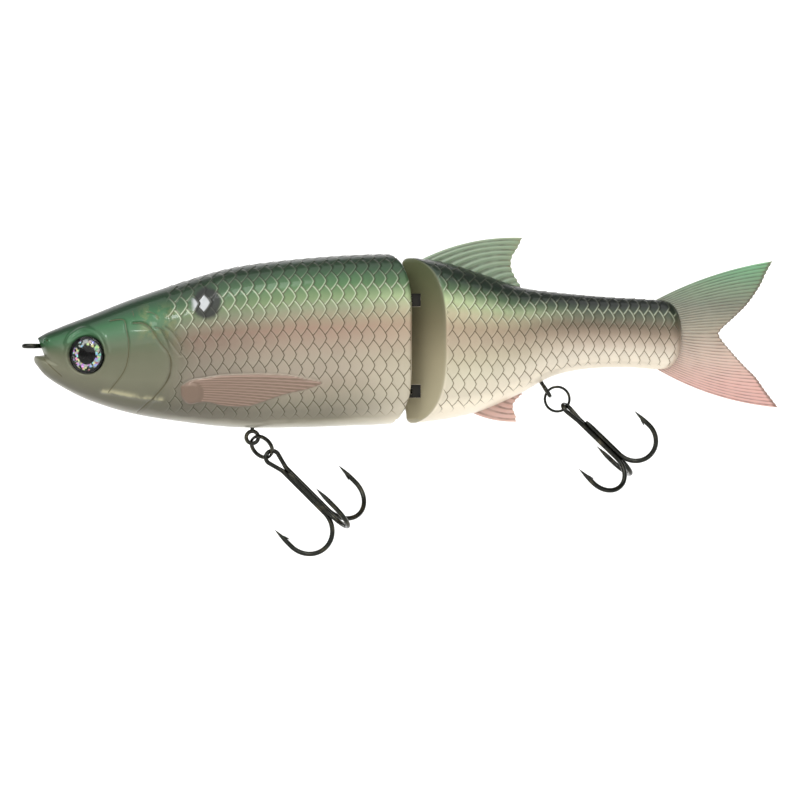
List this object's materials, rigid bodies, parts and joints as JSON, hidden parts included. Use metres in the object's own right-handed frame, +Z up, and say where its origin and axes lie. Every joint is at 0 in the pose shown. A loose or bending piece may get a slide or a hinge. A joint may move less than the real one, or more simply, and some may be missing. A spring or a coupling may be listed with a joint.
{
  "type": "jointed swimbait",
  "caption": "Jointed hard swimbait: hollow painted fish body in two sections on a hinge pin, with soft fins, wire line tie, split rings and treble hooks.",
  "frame": {"origin": "centre of the line tie's wire eye at the nose", "axes": "+X from the nose to the tail, +Z up along the axis of the line tie's eye, +Y towards the fish's right side"},
  "size_m": [0.1809, 0.0258, 0.0765],
  "materials": {
    "painted_shell": "airbrushed scale pattern under a clear gloss coat",
    "eye_foil": "holographic foil with a black pupil",
    "eye_lens": "clear domed epoxy",
    "soft_fin": "translucent ribbed soft plastic",
    "black_nickel": "black nickel plated wire",
    "steel_pin": "stainless wire",
    "ballast": "dull cast metal"
  },
  "bodies": {
    "front_section": {"front_shell_left": "painted_shell", "front_shell_right": "painted_shell", "eye_foil_left": "eye_foil", "eye_foil_right": "eye_foil", "eye_lens_left": "eye_lens", "eye_lens_right": "eye_lens", "line_tie": "black_nickel", "front_hook_hanger": "black_nickel", "hinge_eye_upper": "black_nickel", "hinge_eye_lower": "black_nickel", "front_ballast": "ballast", "middle_ballast": "ballast"},
    "rear_section": {"rear_shell_left": "painted_shell", "rear_shell_right": "painted_shell", "hinge_pin": "steel_pin", "rear_hook_hanger": "black_nickel", "rear_ballast": "ballast", "dorsal_fin": "soft_fin", "ventral_fin": "soft_fin", "tail_fin": "soft_fin"},
    "front_ring": {"front_split_ring": "black_nickel"},
    "front_hook": {"front_treble_double_hook": "black_nickel", "front_treble_third_hook": "black_nickel"},
    "rear_ring": {"rear_split_ring": "black_nickel"},
    "rear_hook": {"rear_treble_double_hook": "black_nickel", "rear_treble_third_hook": "black_nickel"}
  },
  "joints": [
    {"name": "tail_swing", "type": "hinge", "parent": "front_section", "child": "rear_section", "pos_m": [0.091, 0, 0], "axis": [0, 0, 1], "range_deg": [-28, 28]},
    {"name": "front_ring_swing", "type": "hinge", "parent": "front_section", "child": "front_ring", "pos_m": [0.0528, 0, -0.02182], "axis": [0, 1, 0], "range_deg": [-8, 85]},
    {"name": "front_hook_swing", "type": "hinge", "parent": "front_ring", "child": "front_hook", "pos_m": [0.05508, 0, -0.0241], "axis": [0.5, 0.7071, 0.5], "range_deg": [-12, 25]},
    {"name": "rear_ring_swing", "type": "hinge", "parent": "rear_section", "child": "rear_ring", "pos_m": [0.12313, 0, -0.01068], "axis": [0.8412, 0, 0.5408], "range_deg": [-30, 30]},
    {"name": "rear_hook_swing", "type": "hinge", "parent": "rear_ring", "child": "rear_hook", "pos_m": [0.12566, 0, -0.01269], "axis": [0, 1, 0], "range_deg": [-20, 40]}
  ]
}
